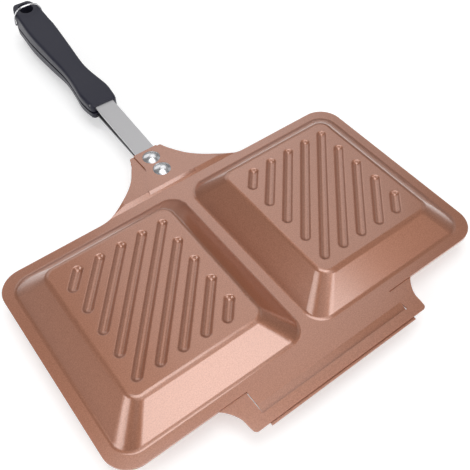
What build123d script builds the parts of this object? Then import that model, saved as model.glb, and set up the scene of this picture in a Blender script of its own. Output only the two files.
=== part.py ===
from build123d import *
import math
import os

# Camping sandwich iron: two ribbed double-cell pans that hook together at the front,
# each with a riveted steel strap, a moulded grip and a grip pin, plus a wire locking bail.
# X runs across both cells, Y from the hook to the handles, and Z up from the plane where
# the two pans meet. Sizes are in millimetres.

# Pan sheet and rim
sheet = 1.0
pan_length = 300.0
pan_width = 167.5
pan_corner = 18.2
rim_end = 8.4
rim_side = 8.35
web = 9.6

# Cells, measured on the outside of the sheet
cell_corner = 12.7
cell_depth = 18.6
wall_run_x = 19.5
wall_run_y = 18.4
floor_corner = 9.0
rim_bend = 3.6
floor_bend = 5.5

# Ribs pressed into the cell floors: grooves outside, ridges inside
rib_count = 9
rib_angle = 49.8
rib_margin_x = 9.25
rib_margin_y = 9.7
rib_corner_gap = 13.4
rib_width = 7.0
rib_depth = 2.0
rib_shoulder = 1.2

# Handle tab, measured back from the pan's rear edge: one side of its outline, then the
# gentle step of its wings, which fade out to the sides
tab_reach = 44.25
tab_end_half = 12.4
tab_corner = (14.2, 43.75)
tab_side = [(14.8, 42.65), (19.0, 33.75), (24.3, 25.25), (33.8, 15.25), (44.5, 7.45), (55.0, 2.05)]
tab_root_half = 66.0
tab_root = 10.0
wing_foot = 1.25
wing_run = 4.2
wing_rise = 1.7
wing_flat_half = 42.0
wing_fade_half = 58.0

# Centre channel of the tab, flaring towards the pan, with its own steeper step
channel_foot = 2.5
channel_run = 2.3
channel_flare = [(21.0, -3.75), (21.0, 5.75), (20.0, 8.25)]
channel_throat = 25.75
channel_side_gap = 1.25
channel_bend = 6.0

# Handle strap: starts behind the pan's rear edge and ends inside the grip
strap_width = 16.5
strap_thickness = 1.8
strap_start = 10.25
strap_tang = 124.0
strap_outward = 2.1
strap_corner = 5.0
handle_turn = -1.6

# Rivets, measured back from the pan's rear edge
rivet_far = 34.75
rivet_near = 19.25
rivet_head_radius = 7.0
rivet_head_height = 2.2
rivet_shank_radius = 2.5
rivet_tail_radius = 4.5
rivet_tail_height = 1.0
rivet_tail_gap = 0.4

# Grips, measured from the grip's front end: how far the side stands out from the strap's
# edge, and how high the outer face is above the meeting plane
grip_start = 112.25
grip_length = 171.0
grip_inner = 1.1
grip_sides = [(3.5, 3.95), (9.0, 4.65), (19.0, 5.05), (29.0, 3.95), (41.0, 2.65),
              (54.0, 1.75), (74.0, 2.55), (99.0, 4.05), (124.0, 4.95), (148.0, 4.25)]
grip_front_side = 1.15
grip_front_corner = (3.15, 1.2)
upper_grip_top = [(-1.0, 6.9), (9.0, 7.9), (19.0, 8.4), (29.0, 8.6), (41.0, 8.3), (54.0, 8.3),
                  (74.0, 9.4), (99.0, 11.4), (124.0, 13.8), (142.0, 16.0), (151.0, 16.6),
                  (158.5, 16.7), (162.5, 16.7), (165.3, 16.1), (167.3, 14.5), (169.0, 11.8),
                  (170.3, 8.2), (170.9, 3.0)]
lower_grip_top = [(-1.0, 6.9), (9.0, 8.2), (19.0, 9.4), (29.0, 9.6), (41.0, 9.0), (54.0, 9.0),
                  (74.0, 10.2), (99.0, 11.2), (122.0, 11.2), (142.0, 10.2), (149.0, 9.6),
                  (155.0, 9.2), (160.0, 8.2), (164.5, 6.4), (167.5, 4.4), (169.3, 2.4),
                  (170.2, 0.4)]
grip_round = 3.0
hanging_hole_y = 153.3
hanging_hole_width = 12.6
hanging_hole_length = 16.4

# Grip pins
pin_radius = 1.25
pin_y = 3.8
pin_notch = 0.75
pin_recess = 0.3

# Locking bail, turning on the sides of the upper grip and leaning towards the pans at rest
wire_radius = 0.8
bail_y = 153.3
bail_z = 3.75
bail_reach = 19.0
bail_lean = 15.0
bail_side_gap = 0.7
bail_corner = 12.0
bail_bend = 1.0
bail_foot = 3.4

# Hook hinge, measured forward from the pan's front edge: tongue on the upper pan, slotted
# tab on the lower pan
tongue_half = 60.0
tongue_bend = 10.55
tongue_low = 15.55
tongue_end = 25.15
slot_inner = 0.55
slot_outer = 16.65
bar_front = 23.55
hook_gap = 0.4
hook_wing = [(20.6, 0.0), (18.0, 2.55), (14.7, 7.25), (12.4, 12.75), (12.0, 17.25), (11.5, 20.55)]
hook_wing_corner = 3.0
hook_root = 6.0

# Clearances
hole_clear = 0.05
slot_side_clear = 0.4
pocket_clear = 0.1

# Values worked out from the sizes above
half_width = pan_width / 2
cell_length = (pan_length - 2 * rim_end - web) / 2
cell_width = pan_width - 2 * rim_side
cell_centre_x = (web + cell_length) / 2
floor_length = cell_length - 2 * wall_run_x
floor_width = cell_width - 2 * wall_run_y
floor_z = sheet + cell_depth
wall_slant = math.hypot(wall_run_x, cell_depth)
wall_inset = sheet * (wall_slant - wall_run_x) / cell_depth
rib_field_x = floor_length / 2 - rib_margin_x
rib_field_y = floor_width / 2 - rib_margin_y
rib_run_x = math.cos(math.radians(rib_angle))
rib_run_y = math.sin(math.radians(rib_angle))
rib_step = 2 * (rib_field_x + rib_field_y * rib_run_x / rib_run_y - rib_corner_gap) / (rib_count - 1)
rib_radius = (rib_width ** 2 / 4 + rib_depth ** 2) / (2 * rib_depth)
channel_rise = rivet_tail_gap / 2 + rivet_tail_height + strap_thickness
channel_top = channel_rise + sheet
channel_half = strap_width / 2 + channel_side_gap + sheet
strap_top = channel_rise
strap_low = strap_top - strap_thickness
strap_grip_low = strap_low + strap_outward
strap_grip_top = strap_grip_low + strap_thickness
rivet_dome = (rivet_head_radius ** 2 + rivet_head_height ** 2) / (2 * rivet_head_height)
hole_radius = rivet_shank_radius + hole_clear
pin_hole_radius = pin_radius + hole_clear
pin_z = strap_grip_top + pin_radius - pin_notch
bail_half = strap_width / 2 + grip_sides[-1][1] + bail_side_gap + wire_radius
tongue_low_z = -sheet - hook_gap - sheet / 2
turn = math.radians(handle_turn)
grip_tip = half_width + rivet_far + (grip_start + grip_length - rivet_far) * math.cos(turn)
shift_y = (half_width + tongue_end - grip_tip) / 2
shift_z = floor_z


def slab(points, plane, start, end):
    # A flat outline drawn on a plane and carried from start to end along the plane's normal.
    outline = make_face(Polyline(*points, close=True))
    return extrude(plane * Pos(0, 0, start) * outline, amount=end - start)


def across(points, half):
    # An outline in Y and Z, carried the same way to both sides in X.
    return slab(points, Plane.YZ, -half, half)


def along(points, start, end):
    # An outline in X and Z, carried along Y.
    return slab([(x, z) for x, z in points], Plane.XZ, -end, -start)


def cell(side, inset, height):
    # The tapered body of one cell, bigger at the rim than at the floor.
    low = RectangleRounded(cell_length - 2 * inset, cell_width - 2 * inset, cell_corner - inset)
    high = RectangleRounded(floor_length - 2 * inset, floor_width - 2 * inset, floor_corner - inset)
    middle = side * cell_centre_x
    body = loft([Pos(middle, 0, height - cell_depth) * low, Pos(middle, 0, height) * high], ruled=True)
    return fillet(body.edges().group_by(Axis.Z)[-1], floor_bend - (floor_z - height))


def level_edges(body, level, reach_x, reach_y):
    # The edges of both cells that lie at this height, within this reach of a cell's middle.
    found = []
    for edge in body.edges():
        box = edge.bounding_box()
        flat = abs(box.min.Z - level) < 0.01 and abs(box.max.Z - level) < 0.01
        inside_y = max(abs(box.min.Y), abs(box.max.Y)) < reach_y + 0.1
        inside_x = max(abs(box.min.X), abs(box.max.X)) < cell_centre_x + reach_x + 0.1
        if flat and inside_x and inside_y:
            found.append(edge)
    return found


def mouth_edges(body, level):
    # The edges where the cells leave the rim, on the face at this height.
    return level_edges(body, level, cell_length / 2, cell_width / 2)


def rib_edges(body):
    # The outlines of the grooves in the cell floors.
    return level_edges(body, floor_z, rib_field_x, rib_field_y)


def capsule(half_span, radius):
    # A straight rod with round ends, lying along X.
    profile = make_face(
        [
            Line((-half_span - radius, 0), (half_span + radius, 0)),
            CenterArc((half_span, 0), radius, 0, 90),
            Line((half_span, radius), (-half_span, radius)),
            CenterArc((-half_span, 0), radius, 90, 90),
        ]
    )
    return revolve(profile, Axis.X)


def ribs(side, grow):
    # The rib tools of one cell, clipped to the ribbed field of the floor.
    tools = []
    for index in range(rib_count):
        aside = (index - (rib_count - 1) / 2) * rib_step
        far = min((rib_field_x - aside) / rib_run_x, rib_field_y / rib_run_y)
        near = max((-rib_field_x - aside) / rib_run_x, -rib_field_y / rib_run_y)
        half_span = (far - near) / 2 - rib_width / 2
        middle = (far + near) / 2
        place = Pos(
            side * cell_centre_x + aside + middle * rib_run_x,
            middle * rib_run_y,
            floor_z + rib_radius - rib_depth,
        )
        tools.append(place * Rot(0, 0, rib_angle) * capsule(half_span, rib_radius + grow))
    return tools


def tab_outline():
    # The plan of the handle tab, running well into the rim.
    right = tab_side + [(tab_root_half, 0)]
    left = [(-x, y) for x, y in reversed(right)]
    lines = [
        Spline(*right, tangents=[(0.3, -1), (1, 0)]),
        Polyline(right[-1], (tab_root_half, -tab_root), (-tab_root_half, -tab_root), left[0]),
        Spline(*left, tangents=[(1, 0), (0.3, 1)]),
        ThreePointArc(left[-1], (-tab_corner[0], tab_corner[1]), (-tab_end_half, tab_reach)),
        Line((-tab_end_half, tab_reach), (tab_end_half, tab_reach)),
        ThreePointArc((tab_end_half, tab_reach), tab_corner, right[0]),
    ]
    return make_face(lines)


def step(foot, run, rise):
    # A raised step across the tab, from the inside of the sheet to its outer face.
    far = 2 * tab_reach
    top = sheet + rise
    profile = [(foot, 0), (foot, sheet), (foot + run, top), (far, top), (far, 0)]
    return across(profile, tab_root_half)


def step_space(foot, run, rise):
    # The space under the same step, one sheet thickness in.
    far = 2 * tab_reach
    slope = rise / run
    start = foot + sheet * (math.hypot(1, slope) - 1) / slope
    profile = [(start, 0), (start + run, rise), (far, rise), (far, 0)]
    return across(profile, tab_root_half)


def fading(low, top):
    # The wings seen from the handle's end: level in the middle and fading out to the sides.
    right = [(wing_flat_half, top), (wing_fade_half, low)]
    if low > 0:
        right.append((wing_fade_half, 0))
    left = [(-x, z) for x, z in reversed(right)]
    return along(left + right, 0, 2 * tab_reach)


def channel_plan():
    # The centre channel seen from above.
    right = channel_flare + [(channel_half, channel_throat), (channel_half, 2 * tab_reach)]
    left = [(-x, y) for x, y in reversed(right)]
    plan = make_face(Polyline(*right, *left, close=True))
    throat = [v for v in plan.vertices() if abs(v.Y - channel_throat) < 0.1]
    return fillet(throat, channel_bend)


def handle_tab():
    # The raised tab with its centre channel: the outer body and the space under the sheet.
    wing = step(wing_foot, wing_run, wing_rise) & fading(sheet, sheet + wing_rise)
    wing_space = step_space(wing_foot, wing_run, wing_rise) & fading(0, wing_rise)
    plan = channel_plan()
    channel = extrude(plan, amount=channel_top) & step(channel_foot, channel_run, channel_rise)
    space = extrude(offset(plan, -sheet), amount=channel_rise) & step_space(
        channel_foot, channel_run, channel_rise
    )
    outer = (wing + channel) & extrude(tab_outline(), amount=channel_top)
    place = Pos(0, half_width, 0)
    return place * outer, place * (wing_space + space)


def pan():
    # One pressed pan half, cells upward, with its handle tab and rivet holes.
    body = extrude(RectangleRounded(pan_length, pan_width, pan_corner), amount=sheet)
    body += Pos(0, half_width, 0) * extrude(tab_outline(), amount=sheet)
    for side in (-1, 1):
        body += cell(side, 0, floor_z)
    body = fillet(mouth_edges(body, sheet), rim_bend)
    for side in (-1, 1):
        for tool in ribs(side, 0):
            body -= tool
    body = fillet(rib_edges(body), rib_shoulder)
    outer, space = handle_tab()
    body += outer
    body -= space
    for side in (-1, 1):
        hollow = cell(side, wall_inset, floor_z - sheet)
        for tool in ribs(side, sheet):
            hollow -= tool
        body -= hollow
    body = fillet(mouth_edges(body, 0), rim_bend + sheet)
    for y in (rivet_near, rivet_far):
        body -= Pos(0, half_width + y, 0) * Cylinder(hole_radius, 4 * floor_z)
    return body


def ahead(points):
    # Distances forward of the pan's front edge, as places in Y.
    return [(-half_width - out, z) for out, z in points]


def upper_pan():
    # The upper pan's tongue runs level past the rim, dips through the slot and runs on under the bar.
    half = sheet / 2
    slope = math.atan2(half - tongue_low_z, tongue_low - tongue_bend)
    shift = half * math.tan(slope / 2)
    profile = ahead([
        (-hook_root, 0), (-hook_root, sheet),
        (tongue_bend + shift, sheet), (tongue_low + shift, tongue_low_z + half),
        (tongue_end, tongue_low_z + half), (tongue_end, tongue_low_z - half),
        (tongue_low - shift, tongue_low_z - half), (tongue_bend - shift, 0),
    ])
    return pan() + across(profile, tongue_half)


def lower_pan():
    # The lower pan is turned over, with a slotted tab that the tongue hooks through.
    body = pan().rotate(Axis.Y, 180)
    right = [(tongue_half + x, -out) for x, out in hook_wing]
    tip = right[-1][0] - hook_wing_corner
    knee = hook_wing_corner * (1 - math.sqrt(0.5))
    corner = (right[-1][0] - knee, -bar_front + knee)
    left = [(-x, y) for x, y in reversed(right)]
    lines = [
        Spline(*right),
        ThreePointArc(right[-1], corner, (tip, -bar_front)),
        Line((tip, -bar_front), (-tip, -bar_front)),
        ThreePointArc((-tip, -bar_front), (-corner[0], corner[1]), left[0]),
        Spline(*left),
        Polyline(left[-1], (left[-1][0], hook_root), (right[0][0], hook_root), right[0]),
    ]
    body += Pos(0, -half_width, -sheet) * extrude(make_face(lines), amount=sheet)
    slot = Box(2 * (tongue_half + slot_side_clear), slot_outer - slot_inner, 4 * sheet)
    return body - Pos(0, -half_width - (slot_inner + slot_outer) / 2, 0) * slot


def turned(shape, start=0):
    # Moves a handle piece to its place behind the pan, leaning a little about the outer rivet.
    pivot = Pos(0, half_width + rivet_far, 0)
    return pivot * Rot(0, 0, handle_turn) * Pos(0, start - rivet_far, 0) * shape


def strap():
    # Flat bar, level under the tab, bending outwards behind it and level again in the grip.
    half = strap_width / 2
    end = grip_start + strap_tang
    profile = [
        (strap_start, strap_low), (strap_start, strap_top), (tab_reach, strap_top),
        (grip_start, strap_grip_top), (end, strap_grip_top),
        (end, strap_grip_low), (grip_start, strap_grip_low), (tab_reach, strap_low),
    ]
    body = across(profile, half)
    ends = [e for e in body.edges().filter_by(Axis.Z) if abs(e.center().X) > half - 0.1]
    body = fillet(ends, strap_corner)
    body -= Pos(0, grip_start, 0) * pin_hole(strap_width)
    body = turned(body)
    for y in (rivet_near, rivet_far):
        body -= Pos(0, half_width + y, 0) * Cylinder(hole_radius, 4 * floor_z)
    return body


def rivet(y):
    # Domed head outside the tab, shank through tab and strap, flat tail inside.
    low = (Align.CENTER, Align.CENTER, Align.MIN)
    dome = Pos(0, 0, channel_top + rivet_head_height - rivet_dome) * Sphere(rivet_dome)
    head = dome & Pos(0, 0, channel_top) * Cylinder(rivet_head_radius, rivet_head_height, align=low)
    shank = Pos(0, 0, strap_low) * Cylinder(rivet_shank_radius, channel_top - strap_low, align=low)
    tail = Pos(0, 0, strap_low - rivet_tail_height) * Cylinder(
        rivet_tail_radius, rivet_tail_height, align=low
    )
    return Pos(0, half_width + y, 0) * (head + shank + tail)


def pin_hole(width):
    # The cross hole of the grip pin, in the grip's own measure.
    return Pos(0, pin_y, pin_z) * Rot(0, 90, 0) * Cylinder(pin_hole_radius, 2 * width)


def grip_plan():
    # The grip seen from above: rounded front, waisted sides and a rounded nose.
    edge = strap_width / 2
    right = [(edge + side, y) for y, side in grip_sides]
    left = [(-x, y) for x, y in reversed(right)]
    nose_half, nose_y = right[-1]
    turns = [math.pi * step / 8 for step in range(9)]
    nose = [(nose_half * math.cos(t), nose_y + (grip_length - nose_y) * math.sin(t)) for t in turns]
    front = edge + grip_front_side
    corner = (edge + grip_front_corner[0], grip_front_corner[1])
    lines = [
        Spline(*right, tangents=[(0.25, 1), (0, 1)]),
        Spline(*nose, tangents=[(0, 1), (0, -1)]),
        Spline(*left, tangents=[(0, -1), (0.25, -1)]),
        ThreePointArc(left[-1], (-corner[0], corner[1]), (-front, 0)),
        Line((-front, 0), (front, 0)),
        ThreePointArc((front, 0), corner, right[0]),
    ]
    return make_face(lines)


def grip(top_line):
    # The moulded grip with its strap pocket, hanging hole and pin hole.
    near = top_line[0]
    far = top_line[-1]
    thick = 2 * max(z for y, z in top_line)
    lines = [
        Spline(*top_line),
        Polyline(far, (far[0], -thick), (near[0], -thick), near),
    ]
    side = extrude(Plane.YZ * Pos(0, 0, -pan_width) * make_face(lines), amount=2 * pan_width)
    body = extrude(Pos(0, 0, grip_inner) * grip_plan(), amount=thick) & side
    upper = [e for e in body.edges() if e.bounding_box().min.Z > grip_inner + 0.1]
    body = fillet([e for e in upper if e.length > 1], grip_round)
    hole = SlotOverall(hanging_hole_length, hanging_hole_width, rotation=90)
    body -= Pos(0, hanging_hole_y, 0) * extrude(hole, amount=thick)
    body -= Pos(0, 0, (strap_grip_low + strap_grip_top) / 2) * Box(
        strap_width + 2 * pocket_clear, 2 * (strap_tang + pocket_clear), strap_thickness + 2 * pocket_clear
    )
    return body - pin_hole(pan_width)


def grip_pin():
    length = strap_width + 2 * (grip_sides[0][1] - pin_recess)
    return turned(Pos(0, pin_y, pin_z) * Rot(0, 90, 0) * Cylinder(pin_radius, length), grip_start)


def upper_grip():
    # The upper grip also has the cross hole that the bail turns in.
    hole = Pos(0, bail_y, bail_z) * Rot(0, 90, 0) * Cylinder(wire_radius + hole_clear, pan_width)
    return turned(grip(upper_grip_top) - hole, grip_start)


def lower_grip():
    return lower(turned(grip(lower_grip_top), grip_start))


def locking_bail():
    # One bent wire: a foot in each side of the grip, two legs and a bow over the nose.
    top = bail_z + bail_reach
    foot = bail_half - bail_foot
    path = [
        Line((-foot, bail_z), (-bail_half + bail_bend, bail_z)),
        CenterArc((-bail_half + bail_bend, bail_z + bail_bend), bail_bend, 180, 90),
        Line((-bail_half, bail_z + bail_bend), (-bail_half, top - bail_corner)),
        CenterArc((-bail_half + bail_corner, top - bail_corner), bail_corner, 90, 90),
        Line((-bail_half + bail_corner, top), (bail_half - bail_corner, top)),
        CenterArc((bail_half - bail_corner, top - bail_corner), bail_corner, 0, 90),
        Line((bail_half, top - bail_corner), (bail_half, bail_z + bail_bend)),
        CenterArc((bail_half - bail_bend, bail_z + bail_bend), bail_bend, 270, 90),
        Line((bail_half - bail_bend, bail_z), (foot, bail_z)),
    ]
    wire = Wire([line.edge() for line in path])
    plane = Plane(origin=(0, bail_y, 0), x_dir=(1, 0, 0), z_dir=(0, -1, 0))
    wire = plane * wire
    start = Plane(origin=(-foot, bail_y, bail_z), z_dir=(-1, 0, 0))
    body = sweep(start * Circle(wire_radius), path=wire)
    axis = Pos(0, bail_y, bail_z)
    return turned(axis * Rot(bail_lean, 0, 0) * axis.inverse() * body, grip_start)


def lower(shape):
    # The same piece on the other side of the meeting plane.
    return mirror(shape, about=Plane.XY)


def main():
    os.makedirs("parts", exist_ok=True)
    far = rivet(rivet_far)
    near = rivet(rivet_near)
    pieces = {
        "upper_pan": upper_pan(),
        "lower_pan": lower_pan(),
        "upper_strap": strap(),
        "lower_strap": lower(strap()),
        "upper_rivet_far": far,
        "upper_rivet_near": near,
        "lower_rivet_far": lower(far),
        "lower_rivet_near": lower(near),
        "upper_grip": upper_grip(),
        "lower_grip": lower_grip(),
        "upper_grip_pin": grip_pin(),
        "lower_grip_pin": lower(grip_pin()),
        "locking_bail": locking_bail(),
    }
    for name, shape in pieces.items():
        shape = Pos(0, shift_y, shift_z) * shape
        export_step(shape, "parts/" + name + ".step")


main()
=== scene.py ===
import math

import bpy
from mathutils import Matrix, Vector

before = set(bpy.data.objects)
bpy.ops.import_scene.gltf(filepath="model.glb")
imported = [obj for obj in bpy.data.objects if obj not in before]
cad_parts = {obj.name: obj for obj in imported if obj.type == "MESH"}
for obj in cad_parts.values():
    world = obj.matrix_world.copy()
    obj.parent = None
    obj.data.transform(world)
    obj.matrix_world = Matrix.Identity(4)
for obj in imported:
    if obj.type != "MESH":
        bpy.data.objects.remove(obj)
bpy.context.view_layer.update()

# Camera: place in metres and directions in the row frame, lens and sensor in millimetres
CAMERA_PLACE = Vector((-0.1668, -0.3537, 0.3954))
CAMERA_RIGHT = Vector((0.801, -0.5984, -0.0155))
CAMERA_FORWARD = Vector((0.3627, 0.5059, -0.7827))
CAMERA_LENS = 51.1
CAMERA_SENSOR = 36
CAMERA_NEAR = 0.01

# Floor and world: a white floor, and a sky that goes from pale grey at the horizon to a
# dimmer grey above a height of SKY_FROM
FLOOR_SIZE = 7.0
FLOOR_COLOUR = (0.8, 0.8, 0.8, 1)
FLOOR_GLOW = 0.42
WHITE = (1, 1, 1, 1)
HORIZON = 0.37
SKY = 0.2
SKY_FROM = 0.25

# Softboxes: round, all at one distance from the middle of the pans and facing it. Each has
# its height and bearing in degrees and its power in watts.
LIGHT_AIM = Vector((0.0, -0.08, 0.02))
LIGHT_DISTANCE = 2.0
SOFTBOX = 1.19
LIGHTS = {
    "front_low": (18, 281, 12.3),
    "front_high": (52, 280, 3.0),
    "front_left": (52, 240, 1.5),
    "front_top": (72, 288, 2.0),
    "left_low": (12, 180, 1.2),
    "left": (32, 180, 9.5),
    "right": (32, 0, 1.2),
    "back_right": (32, 60, 1.2),
    "back": (32, 90, 3.0),
    "back_high": (52, 50, 3.3),
    "overhead": (90, 0, 10.5),
}

# Looks: linear colours, roughness from the grain's low to its high value, each grain's noise
# scale and detail, and each relief's strength and depth in metres
COATING_DARK = (0.34, 0.126, 0.062, 1)
COATING_LIGHT = (0.455, 0.18, 0.098, 1)
COATING_SPECKLE = (-1.0, 2.0)
COATING_METALLIC = 0.6
COATING_ROUGHNESS = (0.41, 0.49)
COATING_GRAIN = (1400, 2)
COATING_RELIEF = (0.12, 0.0002)
COAT_WEIGHT = 1.0
COAT_ROUGHNESS = 0.2
COAT_IOR = 1.9
STRAP_COLOUR = (0.505, 0.5, 0.51, 1)
STRAP_ROUGHNESS = (0.3, 0.48)
PIN_COLOUR = (0.16, 0.16, 0.17, 1)
PIN_ROUGHNESS = (0.32, 0.5)
BRUSHING = (3000, 60, 3000)
BRUSHED_GRAIN = (1, 3)
BRUSHED_RELIEF = (0.1, 0.0001)
BRIGHT_COLOUR = (0.78, 0.78, 0.8, 1)
BRIGHT_ROUGHNESS = (0.2, 0.28)
BRIGHT_GRAIN = (300, 2)
PLASTIC_COLOUR = (0.0205, 0.0205, 0.035, 1)
PLASTIC_ROUGHNESS = (0.34, 0.5)
PLASTIC_GRAIN = (1800, 3)
PLASTIC_RELIEF = (0.25, 0.0001)
PLASTIC_IOR = 1.38

# Sockets of the colour mix node, whose names repeat
MIX_FACTOR = 0
MIX_FIRST = 6
MIX_SECOND = 7
MIX_RESULT = 2


def nodes_of(owner):
    # The empty node tree of a material or world.
    owner.use_nodes = True
    tree = owner.node_tree
    tree.nodes.clear()
    return tree


def add(tree, kind, **values):
    # A shader node with its properties and input values set by name, with _ for a space.
    node = tree.nodes.new(kind)
    for name, value in values.items():
        if hasattr(node, name):
            setattr(node, name, value)
        else:
            node.inputs[name.replace("_", " ")].default_value = value
    return node


def principled(name, **values):
    material = bpy.data.materials.new(name)
    tree = nodes_of(material)
    shader = add(tree, "ShaderNodeBsdfPrincipled", **values)
    output = add(tree, "ShaderNodeOutputMaterial")
    tree.links.new(shader.outputs["BSDF"], output.inputs["Surface"])
    return material, tree, shader


def ramp(tree, source, low, high):
    # Maps a 0..1 value onto low..high.
    node = add(tree, "ShaderNodeMapRange", To_Min=low, To_Max=high)
    tree.links.new(source, node.inputs["Value"])
    return node.outputs["Result"]


def grained(tree, shader, grain, roughness, stretch=None):
    # Fine noise in the piece's own coordinates, which also varies the roughness.
    scale, detail = grain
    noise = add(tree, "ShaderNodeTexNoise", Scale=scale, Detail=detail)
    place = add(tree, "ShaderNodeTexCoord").outputs["Object"]
    if stretch:
        mapping = add(tree, "ShaderNodeMapping", Scale=stretch)
        tree.links.new(place, mapping.inputs["Vector"])
        place = mapping.outputs["Vector"]
    tree.links.new(place, noise.inputs["Vector"])
    tree.links.new(ramp(tree, noise.outputs["Fac"], *roughness), shader.inputs["Roughness"])
    return noise.outputs["Fac"]


def embossed(tree, shader, height, relief):
    # Raises the surface by a fine relief.
    strength, depth = relief
    bump = add(tree, "ShaderNodeBump", Strength=strength, Distance=depth)
    tree.links.new(height, bump.inputs["Height"])
    tree.links.new(bump.outputs["Normal"], shader.inputs["Normal"])


def coating():
    # Satin copper-coloured non-stick coating with a fine metallic speckle.
    material, tree, shader = principled(
        "pan_coating_look", Metallic=COATING_METALLIC, Coat_Weight=COAT_WEIGHT,
        Coat_Roughness=COAT_ROUGHNESS, Coat_IOR=COAT_IOR,
    )
    grain = grained(tree, shader, COATING_GRAIN, COATING_ROUGHNESS)
    mix = add(tree, "ShaderNodeMix", data_type="RGBA")
    mix.inputs[MIX_FIRST].default_value = COATING_DARK
    mix.inputs[MIX_SECOND].default_value = COATING_LIGHT
    tree.links.new(ramp(tree, grain, *COATING_SPECKLE), mix.inputs[MIX_FACTOR])
    tree.links.new(mix.outputs[MIX_RESULT], shader.inputs["Base Color"])
    embossed(tree, shader, grain, COATING_RELIEF)
    return material


def brushed(name, colour, roughness):
    # Steel with fine lengthwise brushing.
    material, tree, shader = principled(name, Base_Color=colour, Metallic=1.0)
    grain = grained(tree, shader, BRUSHED_GRAIN, roughness, BRUSHING)
    embossed(tree, shader, grain, BRUSHED_RELIEF)
    return material


def chrome():
    # Bright plated metal of the rivets and the wire.
    material, tree, shader = principled(
        "bright_metal_look", Base_Color=BRIGHT_COLOUR, Metallic=1.0
    )
    grained(tree, shader, BRIGHT_GRAIN, BRIGHT_ROUGHNESS)
    return material


def moulded():
    # Black moulded plastic with a fine spark-eroded grain.
    material, tree, shader = principled(
        "grip_plastic_look", Base_Color=PLASTIC_COLOUR, Metallic=0.0, IOR=PLASTIC_IOR
    )
    grain = grained(tree, shader, PLASTIC_GRAIN, PLASTIC_ROUGHNESS)
    embossed(tree, shader, grain, PLASTIC_RELIEF)
    return material


def dress(node, material):
    # Gives a carried-over CAD piece its finished material.
    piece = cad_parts[node]
    piece.data.materials.clear()
    piece.data.materials.append(material)


def softbox(name, height, bearing, power):
    # A round lamp on the sky dome, facing the pans.
    up = math.radians(height)
    around = math.radians(bearing)
    towards = Vector((
        math.cos(up) * math.cos(around),
        math.cos(up) * math.sin(around),
        math.sin(up),
    ))
    data = bpy.data.lights.new(name, "AREA")
    data.shape = "DISK"
    data.size = SOFTBOX
    data.energy = power
    lamp = bpy.data.objects.new(name, data)
    lamp.location = LIGHT_AIM + LIGHT_DISTANCE * towards
    lamp.rotation_euler = (-towards).to_track_quat("-Z", "Y").to_euler()
    bpy.context.collection.objects.link(lamp)


def seen_rays(tree):
    # 1 for camera, glossy and transmission rays, 0 for diffuse light.
    path = add(tree, "ShaderNodeLightPath")
    first = add(tree, "ShaderNodeMath", operation="MAXIMUM")
    second = add(tree, "ShaderNodeMath", operation="MAXIMUM")
    tree.links.new(path.outputs["Is Camera Ray"], first.inputs[0])
    tree.links.new(path.outputs["Is Glossy Ray"], first.inputs[1])
    tree.links.new(first.outputs["Value"], second.inputs[0])
    tree.links.new(path.outputs["Is Transmission Ray"], second.inputs[1])
    return second.outputs["Value"]


def make_floor():
    # A matt floor that glows where it is seen, so that it is white and keeps the shadow.
    bpy.ops.mesh.primitive_plane_add(size=FLOOR_SIZE)
    floor = bpy.context.object
    floor.name = "studio_floor"
    material = bpy.data.materials.new("studio_floor_look")
    tree = nodes_of(material)
    matt = add(tree, "ShaderNodeBsdfDiffuse", Color=FLOOR_COLOUR)
    glow = add(tree, "ShaderNodeEmission", Strength=FLOOR_GLOW)
    total = add(tree, "ShaderNodeAddShader")
    mix = add(tree, "ShaderNodeMixShader")
    output = add(tree, "ShaderNodeOutputMaterial")
    tree.links.new(matt.outputs["BSDF"], total.inputs[0])
    tree.links.new(glow.outputs["Emission"], total.inputs[1])
    tree.links.new(seen_rays(tree), mix.inputs["Fac"])
    tree.links.new(matt.outputs["BSDF"], mix.inputs[1])
    tree.links.new(total.outputs["Shader"], mix.inputs[2])
    tree.links.new(mix.outputs["Shader"], output.inputs["Surface"])
    floor.data.materials.append(material)


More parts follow.
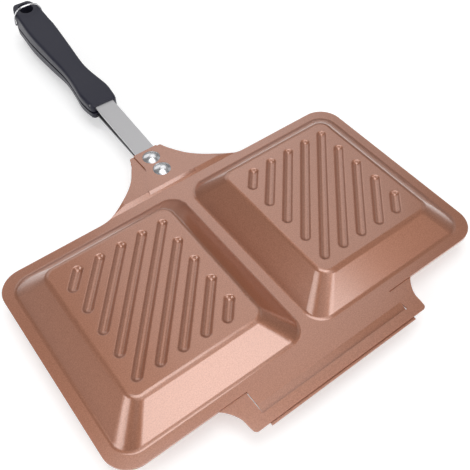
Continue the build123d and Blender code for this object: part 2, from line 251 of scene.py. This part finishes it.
def make_world():
    # A studio sky that is paler at the horizon. The softboxes do the work overhead.
    world = bpy.data.worlds.new("studio")
    bpy.context.scene.world = world
    tree = nodes_of(world)
    place = add(tree, "ShaderNodeTexCoord")
    parts = add(tree, "ShaderNodeSeparateXYZ")
    height = add(tree, "ShaderNodeMath", operation="ABSOLUTE")
    fade = add(tree, "ShaderNodeMapRange", From_Max=SKY_FROM, To_Min=HORIZON, To_Max=SKY)
    sky = add(tree, "ShaderNodeBackground", Color=WHITE)
    output = add(tree, "ShaderNodeOutputWorld")
    tree.links.new(place.outputs["Generated"], parts.inputs["Vector"])
    tree.links.new(parts.outputs["Z"], height.inputs[0])
    tree.links.new(height.outputs["Value"], fade.inputs["Value"])
    tree.links.new(fade.outputs["Result"], sky.inputs["Strength"])
    tree.links.new(sky.outputs["Background"], output.inputs["Surface"])


def make_camera():
    # Stands where the photograph was taken.
    data = bpy.data.cameras.new("camera")
    data.lens = CAMERA_LENS
    data.sensor_width = CAMERA_SENSOR
    data.clip_start = CAMERA_NEAR
    camera = bpy.data.objects.new("camera", data)
    forward = CAMERA_FORWARD.normalized()
    right = (CAMERA_RIGHT - CAMERA_RIGHT.dot(forward) * forward).normalized()
    up = right.cross(forward)
    turn = Matrix((right, up, -forward)).transposed()
    camera.matrix_world = Matrix.Translation(CAMERA_PLACE) @ turn.to_4x4()
    bpy.context.collection.objects.link(camera)
    bpy.context.scene.camera = camera


coat = coating()
steel = brushed("strap_steel_look", STRAP_COLOUR, STRAP_ROUGHNESS)
dark_steel = brushed("pin_steel_look", PIN_COLOUR, PIN_ROUGHNESS)
bright = chrome()
plastic = moulded()
LOOKS = {
    "upper_pan": coat, "lower_pan": coat,
    "upper_strap": steel, "lower_strap": steel,
    "upper_rivet_far": bright, "upper_rivet_near": bright,
    "lower_rivet_far": bright, "lower_rivet_near": bright,
    "upper_grip": plastic, "lower_grip": plastic,
    "upper_grip_pin": dark_steel, "lower_grip_pin": dark_steel,
    "locking_bail": bright,
}
for node, look in LOOKS.items():
    dress(node, look)

make_floor()
make_world()
for name, (height, bearing, power) in LIGHTS.items():
    softbox(name, height, bearing, power)
make_camera()
bpy.context.scene.view_settings.view_transform = "Standard"
